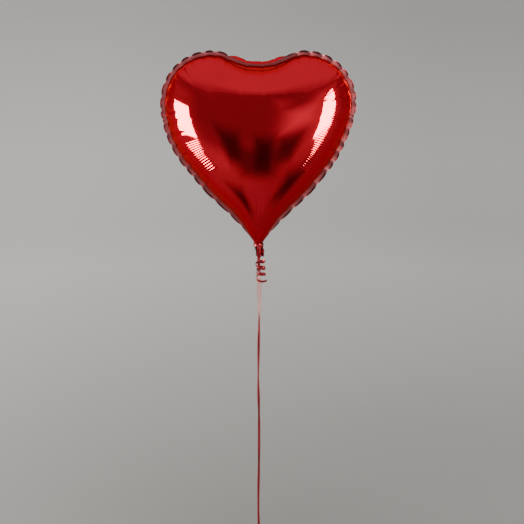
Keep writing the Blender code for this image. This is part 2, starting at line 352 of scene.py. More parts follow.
def object_place(nodes, links, scale=(1.0, 1.0, 1.0)):
    place = nodes.new("ShaderNodeTexCoord").outputs["Object"]
    node = nodes.new("ShaderNodeMapping")
    node.inputs["Scale"].default_value = scale
    links.new(place, node.inputs["Vector"])
    return node.outputs["Vector"]


def foil_material(name, deep, bright):
    """Red mirror film with faint roll marks and haze, duller and paler where it is welded, with
    painted shade darkening the scallops' tips.
    """
    material, nodes, links, shader = new_material(name)
    place = object_place(nodes, links)
    welded = painted(nodes, "margin")
    tone = noise(nodes, links, 22.0, 4.0, place)
    sheet = mix_colours(nodes, links, tone, deep, bright)
    fine = noise(nodes, links, 420.0, 2.0, place)
    weld_and_tip_shade = mix_colours(nodes, links, fine, WELD_DEEP, WELD_PALE)
    # Painted shade: the scallops' outer tips darken to a near-black red
    weld_and_tip_shade = mix_colours(nodes, links, painted(nodes, "painted_tip_shade"), weld_and_tip_shade, WELD_TIP_SHADE)
    links.new(mix_colours(nodes, links, welded, sheet, weld_and_tip_shade), shader.inputs["Base Color"])
    haze = remap(nodes, links, noise(nodes, links, 9.0, 5.0, place), 0.35, 0.65, 0.035, 0.075)
    rough = nodes.new("ShaderNodeMix")
    links.new(welded, rough.inputs["Factor"])
    links.new(haze, rough.inputs[2])
    rough.inputs[3].default_value = 0.30
    links.new(rough.outputs[0], shader.inputs["Roughness"])
    set_inputs(shader, Metallic=1.0, Specular_Tint=(*FOIL_GLANCING, 1.0),
               Coat_Weight=0.07, Coat_Roughness=0.05, Coat_IOR=1.38)
    drawn = object_place(nodes, links, (1.0, 1.0, 0.15))
    add_bump(nodes, links, shader, noise(nodes, links, 160.0, 3.0, drawn), 0.10, 0.0004)
    return material


def ribbon_material():
    """Ribbed curling ribbon: sheer translucent red film with fine lengthways lines, painted paler,
    clearer and less metallic along the tether's widened stretch and near its edges as a painted
    sheen standing in for reflections.
    """
    material, nodes, links, shader = new_material("red_ribbon_painted_sheen")
    place = object_place(nodes, links)
    tone = noise(nodes, links, 35.0, 3.0, place)
    dyed = mix_colours(nodes, links, tone, RIBBON_DEEP, RIBBON_PALE)
    # Painted sheen: the tether's widened stretch and its edges are painted pale pink, clearer and
    # less metallic, standing in for reflections
    across = painted(nodes, "across")
    from_middle = calculate(nodes, links, "ABSOLUTE", across)
    near_edge = remap(nodes, links, from_middle, 0.45, 0.90, 0.0, 0.85)
    edge_sheen = calculate(nodes, links, "MULTIPLY", painted(nodes, "takes_edge_sheen"), near_edge)
    painted_sheen = calculate(nodes, links, "MAXIMUM", painted(nodes, "painted_sheen"), edge_sheen)
    links.new(mix_colours(nodes, links, painted_sheen, dyed, RIBBON_PAINTED_SHEEN), shader.inputs["Base Color"])
    links.new(remap(nodes, links, painted_sheen, 0.0, 1.0, 0.10, 0.48), shader.inputs["Transmission Weight"])
    links.new(remap(nodes, links, painted_sheen, 0.0, 1.0, 0.45, 0.0), shader.inputs["Metallic"])
    lines = calculate(nodes, links, "MULTIPLY", across, RIBBON_LINES)
    add_bump(nodes, links, shader, calculate(nodes, links, "SINE", lines), 0.16, 0.0002)
    haze = remap(nodes, links, noise(nodes, links, 180.0, 2.0, place), 0.3, 0.7, 0.12, 0.22)
    links.new(haze, shader.inputs["Roughness"])
    set_inputs(shader, IOR=1.49, Coat_Weight=0.18, Coat_Roughness=0.06)
    return material


def film_material():
    material, nodes, links, shader = new_material("clear_valve_film")
    place = object_place(nodes, links)
    tone = noise(nodes, links, 60.0, 3.0, place)
    links.new(mix_colours(nodes, links, tone, FILM_DEEP, FILM_PALE), shader.inputs["Base Color"])
    links.new(remap(nodes, links, tone, 0.3, 0.7, 0.08, 0.22), shader.inputs["Roughness"])
    add_bump(nodes, links, shader, noise(nodes, links, 240.0, 3.0, place), 0.25, 0.0003)
    set_inputs(shader, Transmission_Weight=0.85)
    return material


# ------------------------------------------------ mesh helpers


def link(item):
    bpy.context.collection.objects.link(item)
    return item


def mesh_object(name, points, faces, material):
    mesh = bpy.data.meshes.new(name)
    mesh.from_pydata([tuple(point) for point in points], [], faces)
    mesh.update()
    mesh.shade_smooth()
    mesh.materials.append(material)
    return link(bpy.data.objects.new(name, mesh))


def paint(item, name, values, kind="FLOAT", domain="POINT"):
    """Store one value for each point, or each edge, under a name that materials can read."""
    item.data.attributes.new(name, kind, domain).data.foreach_set("value", values)


def grid_faces(rows, columns, first=0, closed=False, flipped=False):
    """Quads over points numbered row by row; closed joins each row's end to its start."""
    faces = []
    for row in range(rows - 1):
        for column in range(columns if closed else columns - 1):
            a = first + row * columns + column
            b = first + row * columns + (column + 1) % columns
            faces.append((a, b, b + columns, a + columns) if flipped
                         else (a, a + columns, b + columns, b))
    return faces


def frames_along(path, first_side):
    """Unit tangents and sideways directions carried along a path without twist."""
    tangent = unit(np.gradient(path, axis=0))
    side = np.zeros_like(path)
    current = np.array(first_side, dtype=float)
    for i, along in enumerate(tangent):
        current = unit(current - along * current.dot(along))
        side[i] = current
    return tangent, side


def square_to(tangent, across):
    """Unit directions across a path, without what runs along it."""
    return unit(across - tangent * (across * tangent).sum(axis=1, keepdims=True))


def ribbon_strip(name, path, across, width, thickness, material):
    """A closed flat ribbon along a path; across is the direction of its width at each point."""
    widths = np.broadcast_to(width, (len(path),))
    facing = unit(np.cross(unit(np.gradient(path, axis=0)), across))
    top = [(u, 0.5 * math.sqrt(max(0.0, 1 - u ** 8))) for u in np.linspace(-1.0, 1.0, 13)]
    section = top + [(u, -v) for u, v in reversed(top[1:-1])]
    points = []
    for centre, wide, out, here in zip(path, across, facing, widths):
        for u, v in section:
            points.append(centre + wide * (0.5 * here * u) + out * (thickness * v))
    ring = len(section)
    faces = grid_faces(len(path), ring, closed=True)
    faces.append(tuple(range(ring)))
    faces.append(tuple(range((len(path) - 1) * ring, len(path) * ring))[::-1])
    strip = mesh_object(name, points, faces, material)
    paint(strip, "across", np.tile([u for u, _ in section], len(path)))
    return strip


# ------------------------------------------------ foil heart


def half_outline(count):
    """Right half of the trimmed edge and of the seam inside it, evenly spaced from the throat."""
    dense = [bezier(controls, 200) for controls in EDGE_CURVES]
    dense = np.vstack([dense[0], *(curve[1:] for curve in dense[1:])])
    far = travelled(dense)
    wanted = np.linspace(0.0, far[-1], count)
    edge = np.stack([np.interp(wanted, far, dense[:, axis]) for axis in range(2)], axis=1)
    tangent = np.gradient(edge, axis=0)
    tangent[0] = (0.0, 1.0)
    tangent[-1] = (-1.0, 0.0)
    tangent = unit(tangent)
    inward = np.stack((-tangent[:, 1], tangent[:, 0]), axis=1)
    taper = smooth_step(wanted / SEAM_TAPER_LENGTH)
    width = THROAT_SEAM_WIDTH + (SEAM_WIDTH - THROAT_SEAM_WIDTH) * taper
    return edge, edge + inward * width[:, None]


def whole_outline(half):
    """Both halves: fuller above the throat than the flat cut, and drawn in at the right."""
    height = half[:, 1:]
    full = 1.0 + FLANK_FULLNESS * np.exp(-((height - FLANK_HEIGHT) / FLANK_REACH) ** 2)
    tucked = full - RIGHT_TUCK * np.exp(-((height - TUCK_HEIGHT) / TUCK_REACH) ** 2)
    right = np.hstack((half[:, :1] * tucked, height))
    left = np.hstack((-half[:, :1] * full, height))
    return np.vstack((right, left[-2::-1]))


def throat_chord(seam, count):
    """Points across the open throat from its left end to its right end, both left out."""
    across = -np.cos(np.linspace(0.0, math.pi, count + 1))[1:-1]
    return np.stack((across * seam[0][0], np.zeros(count - 1)), axis=1)


def disc_scales(rings):
    """How far out each ring lies, from the centre to the rim, closer together near the rim."""
    return np.sin(0.5 * math.pi * np.linspace(0.0, 1.0, rings + 1))


def coarse_swell(half_count, chord_count, rings):
    """Root of the sag of a loaded membrane over the heart, by ring and column.

    It is 1 at the fullest point and 0 at the seam, and the throat is left open.
    """
    seam = whole_outline(half_outline(half_count)[1])
    rim = np.vstack((seam, throat_chord(seam, chord_count)))
    columns = len(rim)
    rows = (HEART_CENTRE + scale * (rim - HEART_CENTRE) for scale in disc_scales(rings)[1:])
    points = np.vstack((HEART_CENTRE[None], *rows))
    column = np.arange(columns)
    after = (column + 1) % columns
    triangles = [np.stack((np.zeros(columns, int), 1 + after, 1 + column), axis=1)]
    for ring in range(rings - 1):
        inner, outer = 1 + ring * columns, 1 + (ring + 1) * columns
        triangles.append(np.stack((inner + column, inner + after, outer + after), axis=1))
        triangles.append(np.stack((inner + column, outer + after, outer + column), axis=1))
    triangles = np.vstack(triangles)
    a, b, c = (points[triangles[:, corner]] for corner in range(3))
    sides = np.stack((c - b, a - c, b - a), axis=1)
    area = 0.5 * np.abs(sides[:, 0, 0] * sides[:, 1, 1] - sides[:, 0, 1] * sides[:, 1, 0])
    local = np.einsum("tik,tjk->tij", sides, sides) / (4.0 * area)[:, None, None]
    stiffness = np.zeros((len(points), len(points)))
    load = np.zeros(len(points))
    for i in range(3):
        np.add.at(load, triangles[:, i], area / 3.0)
        for j in range(3):
            np.add.at(stiffness, (triangles[:, i], triangles[:, j]), local[:, i, j])
    first = 1 + (rings - 1) * columns
    free = np.ones(len(points), bool)
    free[first:first + len(seam)] = False
    sag = np.zeros(len(points))
    sag[free] = np.linalg.solve(stiffness[np.ix_(free, free)], load[free])
    root = np.sqrt(np.clip(sag, 0.0, None) / sag.max())
    return np.vstack((np.full((1, columns), root[0]), root[1:].reshape(rings, columns))), len(seam)


def fine_swell(rings, outline_count, chord_count):
    """The same at the mesh's own rings and columns."""
    coarse, seam_count = coarse_swell(SAG_OUTLINE_HALF, SAG_CHORD, SAG_RINGS)
    coarse_turn = np.linspace(0.0, 1.0, len(coarse))
    fine_turn = np.linspace(0.0, 1.0, rings + 1)
    along = spline(coarse_turn, coarse, fine_turn).T
    outline = spline(np.linspace(0.0, 1.0, seam_count), along[:seam_count],
                     np.linspace(0.0, 1.0, outline_count))
    chord = np.vstack((along[seam_count - 1:], along[:1]))
    cosine = -np.cos(np.linspace(0.0, math.pi, len(chord)))
    wanted = -np.cos(np.linspace(0.0, math.pi, chord_count + 1))[1:-1]
    return np.clip(np.vstack((outline, spline(cosine, chord, wanted))).T, 0.0, None)


class Seam:
    """The welded seam: places and directions along it, and the puckers spaced out on it."""

    def __init__(self, half_count):
        edge, seam = half_outline(half_count)
        self.edge, self.line = whole_outline(edge), whole_outline(seam)
        self.far = travelled(self.line)
        self.long = self.far[-1]
        self.along = unit(np.gradient(self.line, axis=0))
        self.outward = np.stack((self.along[:, 1], -self.along[:, 0]), axis=1)
        self.puckers = self.place_puckers(np.random.default_rng(11))

    def place_puckers(self, random):
        """Rows of place, depth, length and half width, in metres, one for each pucker."""
        rows = []
        notch = 0.5 * self.long
        place = FIRST_PUCKER
        while place < self.long - LAST_PUCKER:
            from_throat = min(place, self.long - place)
            pitch = LOWER_PITCH if from_throat < UPPER_FROM else UPPER_PITCH
            if abs(place - notch) > NOTCH_REACH:
                long_one = random.random() < LONG_SHARE
                length = random.uniform(*(LONG_PUCKER if long_one else SHORT_PUCKER))
                depth = random.uniform(*PUCKER_DEPTH)
                rows.append((place, depth, length, random.uniform(*PUCKER_HALF_WIDTH)))
            place += pitch * random.uniform(0.82, 1.18)
        rows += [(notch - across, *NOTCH_PUCKER) for across in NOTCH_PUCKERS]
        rows += [(place % self.long, *SIDE_PUCKER) for place in SIDE_PUCKERS]
        return np.array(sorted(rows))

    def foot(self, points):
        """Nearest place on the seam, and the distance from it, for each flat point."""
        place, away = np.zeros(len(points)), np.zeros(len(points))
        for start in range(0, len(points), 4000):
            part = points[start:start + 4000]
            gap = part[:, None, :] - self.line[None, ::3, :]
            nearest = 3 * np.argmin((gap ** 2).sum(axis=2), axis=1)
            offset = part - self.line[nearest]
            slip = (offset * self.along[nearest]).sum(axis=1)
            place[start:start + 4000] = self.far[nearest] + slip
            away[start:start + 4000] = np.abs((offset * self.outward[nearest]).sum(axis=1))
        return place, away

    def column(self, place):
        """Number of the seam's own point at each place."""
        return np.clip(np.searchsorted(self.far, place), 0, len(self.far) - 1)

    def pillow(self, place):
        """0 at each pucker and 1 half way between two of them."""
        stops = np.concatenate(([0.0], self.puckers[:, 0], [self.long]))
        cell = np.clip(np.searchsorted(stops, place) - 1, 0, len(stops) - 2)
        part = np.clip((place - stops[cell]) / (stops[cell + 1] - stops[cell]), 0.0, 1.0)
        return np.sin(math.pi * part)

    def pinch(self, place, away):
        """Depth of the puckers at a place, away from the seam."""
        depth = np.zeros_like(place)
        for at, deep, length, half_width in self.puckers:
            shape = np.exp(-((place - at) / half_width) ** 2)
            depth += deep * shape * (1.0 - smooth_step(away / length)) ** 1.5
        return depth

    def notch(self, place):
        """1 at the bottom of the notch, fading to 0 on the lobes."""
        return np.exp(-((place - 0.5 * self.long) / NOTCH_REACH) ** 2)

    def shoulders(self, place):
        """1 on the two slopes that lead down into the notch, and less at its bottom."""
        from_notch = np.abs(place - 0.5 * self.long)
        slopes = np.exp(-((from_notch - REAR_SLOPE_PLACE) / REAR_SLOPE_REACH) ** 2)
        return slopes + REAR_MIDDLE * np.exp(-(from_notch / REAR_MIDDLE_REACH) ** 2)

    def crown(self, place):
        """1 along the tops of the two lobes and 0 on the flanks and in the notch."""
        upward = self.outward[self.column(place), 1]
        return smooth_step((upward - CROWN_UPWARD) / CROWN_FADE) * (1.0 - self.notch(place))

    def plain(self, place):
        """0 in the notch and at the throat, where the weld runs smooth, and 1 elsewhere."""
        from_notch = np.abs(place - 0.5 * self.long)
        from_throat = np.minimum(place, self.long - place)
        off_notch = smooth_step((from_notch - PLAIN_NOTCH) / PLAIN_FADE)
        return off_notch * smooth_step((from_throat - PLAIN_THROAT) / PLAIN_FADE)


def ribs(seam, place, away):
    """Fine ripples square to the seam where the foil is gathered most tightly."""
    total = np.zeros_like(place)
    for side, (start, end) in enumerate(RIBBED):
        distance = place if side == 0 else seam.long - place
        here = smooth_step((distance - start) / 0.012) * smooth_step((end - distance) / 0.014)
        total += here * np.sin(2.0 * math.pi * distance / RIB_PITCH)
    inner_end = smooth_step((away - RIBS_START) / 0.010)
    outer_end = smooth_step((RIBS_END - away) / 0.016)
    return total * RIB_DEPTH * inner_end * outer_end


def upright(flat):
    """Flat (x, z) rows as points in the plane between the two sheets."""
    return np.stack((flat[:, 0], np.zeros(len(flat)), flat[:, 1]), axis=1)


def bulged_sheet(side, seam, swell, flat):
    """The sheet inside its seam as rings of points round the heart's centre."""
    from_notch = np.linalg.norm(flat - seam.line[len(seam.line) // 2], axis=2)
    fullness = 1.0 - NOTCH_FILL * np.exp(-(from_notch / NOTCH_FILL_REACH) ** 2)
    height = BULGE * swell ** fullness
    grid = np.stack((flat[..., 0], side * (height + 0.5 * FOIL), flat[..., 1]), axis=2)

    wrapped = np.concatenate((grid[:, -1:], grid, grid[:, :1]), axis=1)
    normal = np.cross(np.gradient(wrapped, axis=1)[:, 1:-1], np.gradient(grid, axis=0))
    normal[0] = (0.0, side, 0.0)
    normal = unit(normal)
    normal *= np.where(normal[..., 1:2] * side < 0.0, -1.0, 1.0)

    place, away = (part.reshape(flat.shape[:2]) for part in seam.foot(flat.reshape(-1, 2)))
    near_seam = 1.0 - smooth_step(away / PUFF_LENGTH)
    puff = PUFF * seam.pillow(place) * near_seam * seam.plain(place)
    fading = 1.0 - smooth_step((away - BROW_STARTS) / BROW_LENGTH)
    overhang = smooth_step(away / BROW_RISE) * fading
    brow = (NOTCH_BROW * seam.notch(place) + CROWN_BROW * seam.crown(place)) * overhang
    if side > 0:
        brow = brow + REAR_BROW * seam.shoulders(place) * overhang
    pleats = np.cos(2.0 * math.pi * flat[..., 0] / GATHER_PITCH + 0.8 * side)
    gather = GATHER_DEPTH * np.exp(-np.linalg.norm(flat, axis=2) / GATHER_LENGTH) * pleats
    push = puff + brow - seam.pinch(place, away) + ribs(seam, place, away) + gather
    leave = smooth_step(away / WELD_BLEND)[..., None]
    return grid + leave * normal * push[..., None] + (1.0 - leave) * seam_shift(seam, place)


def mark_margin(panel, seam, columns):
    """Tell the material where the sheet is welded and where painted shade darkens its scallops'
    tips.
    """
    outline = len(seam.line)
    weld, outside = 1 + (RINGS - 1) * columns, 1 + RINGS * columns
    welded = np.zeros(len(panel.data.vertices))
    welded[outside:] = 1.0
    welded[weld:weld + outline] = 0.5
    paint(panel, "margin", welded)

    ends = np.zeros(2 * len(panel.data.edges), dtype=np.int32)
    panel.data.edges.foreach_get("vertices", ends)
    ends = ends.reshape(-1, 2)
    creased = ((ends >= weld) & (ends < weld + outline)).all(axis=1)
    paint(panel, "sharp_edge", creased, "BOOLEAN", "EDGE")

    # Painted shade on the scallops' tips, strongest on the outer rows where the margin bulges
    # between puckers
    parts = np.arange(1, MARGIN_ROWS + 1) / MARGIN_ROWS
    raised = smooth_step((seam.pillow(seam.far) - 0.25) / 0.5)
    raised *= 0.15 + 0.85 * seam.plain(seam.far)
    tips = np.zeros(len(panel.data.vertices))
    tips[outside:] = (smooth_step((parts - 0.46) / 0.34)[:, None] * raised).reshape(-1)
    paint(panel, "painted_tip_shade", tips)


def foil_panel(name, side, seam, swell, material):
    """One sheet of the heart: its puckered bulge and its wavy margin. side is -1 front, +1 rear."""
    rim = np.vstack((seam.line, throat_chord(seam.line, CHORD)))
    columns, outline = len(rim), len(seam.line)
    flat = HEART_CENTRE + disc_scales(RINGS)[:, None, None] * (rim - HEART_CENTRE)
    grid = bulged_sheet(side, seam, swell, flat)
    margin = margin_rows(seam, side)
    points = np.vstack((grid[0, :1], grid[1:].reshape(-1, 3), margin.reshape(-1, 3)))

    faces = [(0, 1 + c, 1 + (c + 1) % columns) for c in range(columns)]
    faces += grid_faces(RINGS, columns, first=1, closed=True)
    weld, outside = 1 + (RINGS - 1) * columns, 1 + RINGS * columns
    faces += [(weld + c, outside + c, outside + c + 1, weld + c + 1) for c in range(outline - 1)]
    faces += grid_faces(MARGIN_ROWS, outline, first=outside)
    if side > 0:
        faces = [face[::-1] for face in faces]
    panel = mesh_object(name, points, faces, material)
    mark_margin(panel, seam, columns)
    return panel


def seam_shift(seam, place):
    """Sideways and depthwise wander of the weld itself, the same for both sheets."""
    inward = seam.pinch(place, np.zeros_like(place))
    wave = WELD_WANDER * (seam.pillow(place) - 0.5) * seam.plain(place)
    inward = inward - NOTCH_LIFT * seam.notch(place)
    out = seam.outward[seam.column(place)]
    return np.stack((-out[..., 0] * inward, wave, -out[..., 1] * inward), axis=-1)


def margin_rows(seam, side):
    """The welded margin out to its trimmed edge, scalloped and curled between the puckers."""
    wide = np.linalg.norm(seam.edge - seam.line, axis=1)
    pillow, plain = seam.pillow(seam.far), seam.plain(seam.far)
    base = seam_shift(seam, seam.far) + upright(seam.line)
    out = upright(seam.outward)
    curled = MARGIN_CURL * (pillow - 0.25) * plain
    scallops = 1.0 + SCALLOP * (pillow - 0.5) * plain
    reach = wide * (scallops - NOTCH_MARGIN_LOSS * seam.notch(seam.far))
    rows = []
    for row in range(1, MARGIN_ROWS + 1):
        part = row / MARGIN_ROWS
        step = out * (reach * part)[:, None]
        step[:, 1] = curled * part ** 3.0
        rows.append(base + step + (0.0, side * (0.5 * FOIL + WELD_GAP), 0.0))
    return np.array(rows)


def build_heart(material):
    seam = Seam(OUTLINE_HALF)
    swell = fine_swell(RINGS, len(seam.line), CHORD)
    pieces = []
    for name, side in (("front_foil_skin", -1), ("rear_foil_skin", 1)):
        panel = foil_panel(name, side, seam, swell, material)
        panel.data.transform(Matrix.Translation(THROAT))
        pieces.append(panel)
    return pieces


# ------------------------------------------------ tail and valve film


def gathered_tail(material):
    """The inflation tail below the throat, pleated lengthways and crumpled by the ribbon."""
    rows, around = 70, 220
    angle = np.linspace(0.0, 2.0 * math.pi, around, endpoint=False)
    points = []
    for part in np.linspace(0.0, 1.0, rows):
        z = TAIL_TOP + (TAIL_FOOT - TAIL_TOP) * part
        freed = smooth_step((part - 0.12) / 0.25)
        half_wide = TAIL_HALF_WIDE - TAIL_WIDE_LOSS * part
        half_deep = TAIL_HALF_DEEP - TAIL_FREED_LOSS * freed - TAIL_DEEP_LOSS * part
        pleat = 0.13 * np.cos(9 * angle + 1.4 * math.sin(190 * z) + 0.6)
        pleat += 0.09 * np.cos(14 * angle - 2.0 * math.sin(260 * z + 1.0))
        crumple = 0.10 * freed * np.sin(5 * angle + 900 * z) * np.cos(3 * angle - 620 * z + 1.1)
        crumple += 0.05 * freed * np.sin(11 * angle - 1500 * z)
        reach = 0.92 + pleat + crumple
        ragged = TAIL_RAGGED * np.sin(6 * angle + 0.7) * smooth_step((part - 0.85) / 0.15)
        lean = TAIL_LEAN * smooth_step(part * 1.2)
        points.append(np.stack((half_wide * reach * np.cos(angle) + lean,
                                half_deep * reach * np.sin(angle), z + ragged), axis=1))
    points = np.vstack(points) + np.array(THROAT)
    faces = grid_faces(rows, around, closed=True, flipped=True)
    return mesh_object("gathered_tail", points, faces, material)


def valve_film(name, node, side, material):
    """One clear strip of the one-way valve, slack inside the tail and up into the heart."""
    low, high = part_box(node)
    rows, columns = 60, 12
    points = []
    for row in range(rows):
        part = row / (rows - 1)
        z = low.z - VALVE_FOOT_DROP + (high.z - low.z + VALVE_FOOT_DROP) * part
        widened = smooth_step((z - THROAT.z) / VALVE_WIDENS_OVER)
        half_wide = VALVE_FOOT_HALF_WIDE + VALVE_WIDENING * widened
        slack = VALVE_SLACK * math.sin(26.0 * part)
        lean = TAIL_LEAN * smooth_step((THROAT.z - z) / 0.024)
        for column in range(columns):
            u = 2.0 * column / (columns - 1) - 1.0
            depth = side * VALVE_HALF_GAP + slack * (1.0 - u * u)
            points.append((u * half_wide + lean, depth, z))
    return mesh_object(name, points, grid_faces(rows, columns, flipped=True), material)


# ------------------------------------------------ ribbon


def tether(material):
    """The taut ribbon from the throat's knot down to the end's knot, and the path it follows."""
    path = smooth_route(TETHER_ROUTE, 0.002)
    down = THROAT.z - path[:, 2]
    below, quarters = zip(*TETHER_TWIST)
    angle = 0.5 * math.pi * spline(below, np.array(quarters), down)
    tangent, side = frames_along(path, (1.0, 0.0, 0.0))
    third = np.cross(tangent, side)
    across = side * np.cos(angle)[:, None] + third * np.sin(angle)[:, None]
    upper_end = smooth_step((down - STRETCH_FROM) / STRETCH_FADE_IN)
    stretched = upper_end * smooth_step((STRETCH_TO - down) / STRETCH_FADE_OUT)
    width = RIBBON_WIDTH * (TETHER_WIDENING + STRETCH_WIDENING * stretched)
    strip = ribbon_strip("tether_ribbon_flat", path, across, width, RIBBON_THICKNESS, material)
    ring = len(strip.data.vertices) // len(path)
    # Painted sheen along the widened stretch and near the tether's edges, standing in for
    # reflections of the bright room
    paint(strip, "painted_sheen", np.repeat(stretched, ring))
    paint(strip, "takes_edge_sheen", np.ones(ring * len(path)))
    return strip, path


def curl(material):
    """The free end: a short straight lead over the tail, then a stripped ringlet of open coils."""
    foot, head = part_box("curled_ribbon_end")
    lead_route = (
        (0.0000, CURL_TOP.y + 0.0022, CURL_TOP.z + 0.0016),
        (0.0000, CURL_TOP.y, CURL_TOP.z - 0.0012),
        (0.0002, CURL_TOP.y, CURL_TOP.z - 0.0100),
        (0.0020, CURL_TOP.y, CURL_TOP.z - 0.0190),
        (RINGLET_AXIS_TOP, CURL_TOP.y, head.z + RINGLET_CLEARANCE),
    )
    lead = smooth_route(lead_route, 0.0006)
    steps = int(RINGLET_TURNS * 60)
    part = np.linspace(0.0, 1.0, steps + 1)[1:]
    angle = RINGLET_START + 2.0 * math.pi * RINGLET_TURNS * part
    grow = smooth_step(part * RINGLET_TURNS / 0.45)
    radius = RINGLET_RADIUS * grow * (1.0 + RINGLET_UNEVEN * np.sin(2.3 * angle))
    axis_x = RINGLET_AXIS_TOP + (RINGLET_AXIS_FOOT - RINGLET_AXIS_TOP) * part
    top = head.z + RINGLET_RISE
    fallen = part + RINGLET_UNEVEN_DROP * np.sin(1.7 * angle)
    drop = (top - foot.z - RINGLET_CLEARANCE) * fallen
    helix = np.stack((axis_x + radius * np.cos(angle), CURL_TOP.y + radius * np.sin(angle),
                      top - drop + RINGLET_TIP * grow * np.sin(angle)), axis=1)
    path = smooth_route(np.vstack((lead[::8], helix[::5])), 0.0008)
    path = relaxed(path, CURL_RELAXING)

    tangent, side = frames_along(path, (1.0, 0.0, 0.0))
    axis = np.stack((np.full(len(path), RINGLET_AXIS_FOOT), np.full(len(path), CURL_TOP.y),
                     path[:, 2]), axis=1)
    coiled = smooth_step((head.z - path[:, 2]) / 0.006)[:, None]
    round_side = unit(np.cross(tangent, path - axis))
    round_side *= np.sign(round_side[:, 2:3]) * -1.0
    across = square_to(tangent, side * (1.0 - coiled) + round_side * coiled)
    strip = ribbon_strip("curled_end_flat", path, across, CURL_WIDTH, RIBBON_THICKNESS, material)
    return strip, path


def neck_wrap(material):
    """The ribbon's turns round the throat, bunched over each other."""
    part = np.linspace(0.0, 1.0, 300)
    angle = WRAP_START + 2.0 * math.pi * WRAP_TURNS * part
    half_wide = 0.5 * (WRAP_HIGH.x - WRAP_LOW.x) - WRAP_CLEARANCE
    half_deep = 0.5 * (WRAP_HIGH.y - WRAP_LOW.y) - WRAP_CLEARANCE
    shrink = 1.0 - WRAP_TIGHTER * (1.0 - part) - WRAP_UNEVEN * np.cos(2.0 * angle + 1.0)
    height = WRAP_CENTRE.z + WRAP_RISE * np.sin(1.33 * angle) - WRAP_WOBBLE * np.cos(2.0 * angle)
    path = np.stack((half_wide * shrink * np.cos(angle), half_deep * shrink * np.sin(angle),
                     height), axis=1)
    tilt = WRAP_TILT * np.sin(1.5 * angle)[:, None]
    tangent = unit(np.gradient(path, axis=0))
    outward = np.stack((np.cos(angle), np.sin(angle), np.zeros(len(angle))), axis=1)
    across = square_to(tangent, np.cos(tilt) * np.array((0.0, 0.0, 1.0)) + np.sin(tilt) * outward)
    return ribbon_strip("neck_wrap_turns", path, across, *WRAP_BAND, material)


def knot(name, centre, radius, material):
    """A pulled-tight overhand knot in the flat ribbon."""
    angle = np.linspace(0.0, 2.0 * math.pi, 181)
    trefoil = np.stack((np.sin(angle) + 1.7 * np.sin(2 * angle), -1.5 * np.sin(3 * angle),
                        np.cos(angle) - 1.7 * np.cos(2 * angle)), axis=1) / 2.9
    width, thickness = KNOT_BAND
    path = trefoil * (radius - thickness)
    _, across = frames_along(path, (0.0, 1.0, 0.0))
    return ribbon_strip(name, path + np.array(centre), across, width, thickness, material)


def end_loop(material):
    """The tie-down loop at the ribbon's foot: a flat band round a drop-shaped eye."""
    low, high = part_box("end_loop")
    angle = np.linspace(0.0, 2.0 * math.pi, 241)[2:-2]
    peak = 0.75 * math.sqrt(3.0)
    half_wide = 0.5 * (high.x - low.x) - LOOP_CLEARANCE
    tall = high.z - low.z - 2.0 * LOOP_CLEARANCE
    path = np.stack((half_wide * np.sin(angle) * (1.0 - np.cos(angle)) / peak,
                     np.zeros(len(angle)),
                     low.z + LOOP_CLEARANCE + 0.5 * tall * (1.0 + np.cos(angle))), axis=1)
    wide = np.tile((0.0, 1.0, 0.0), (len(path), 1))
    wide[:, 0] = LOOP_SWAY * np.sin(2.0 * angle)
    return ribbon_strip("end_loop_band", path, unit(wide), RIBBON_WIDTH, LOOP_THICKNESS, material)


# ------------------------------------------------ studio


# Painted shade and light on the studio paper: greyer near the middle of the floor, paler far off,
# greyer upwards and towards the right
PAPER_NEAR_SHADE, PAPER_FAR_LIGHT = (0.41, 0.41, 0.41), (0.90, 0.90, 0.90)
SHADE_NONE, SHADE_SOME, SHADE_MOST = (1.0, 1.0, 1.0), (0.78, 0.78, 0.78), (0.62, 0.62, 0.62)
ROOM_RADIUS = 4.7
ROOM_HEIGHT = 3.4
ROOM_SIDES = 128
COVE_RADIUS = 1.5
FLOOR_Z = -0.0015
HEART_HEIGHT = 0.92
CARD_STEPS = 40
CARD_COVER = 0.9
CARD_FLOOR_GAP = 0.02

CEILING_COLOUR, CEILING_STRENGTH = (1.0, 0.985, 0.96, 1.0), 0.75
SOFTBOX_COLOUR = (1.0, 0.96, 0.82)
# Name, place, place aimed at, size, power in watts
STRIPS = (
    ("left_strip", (-1.10, -0.34, 0.79), (0.0, 0.0, 0.85), (0.62, 0.58), 41.0),
    ("right_strip", (1.00, -0.57, 0.86), (0.0, 0.0, 0.85), (0.40, 0.66), 30.0),
)
REAR_SOFTS = (
    ("rear_left_soft", (-1.6, 1.6, 1.75), (0.0, 0.0, HEART_HEIGHT), (0.8, 1.2), 2.2),
    ("rear_right_soft", (1.6, 1.6, 1.75), (0.0, 0.0, HEART_HEIGHT), (0.8, 1.2), 2.2),
)
KEY_SOFT = ("key_soft", (-1.6, -2.2, 2.9), (0.0, 0.0, 0.4), (2.0, 2.0), 48.0)

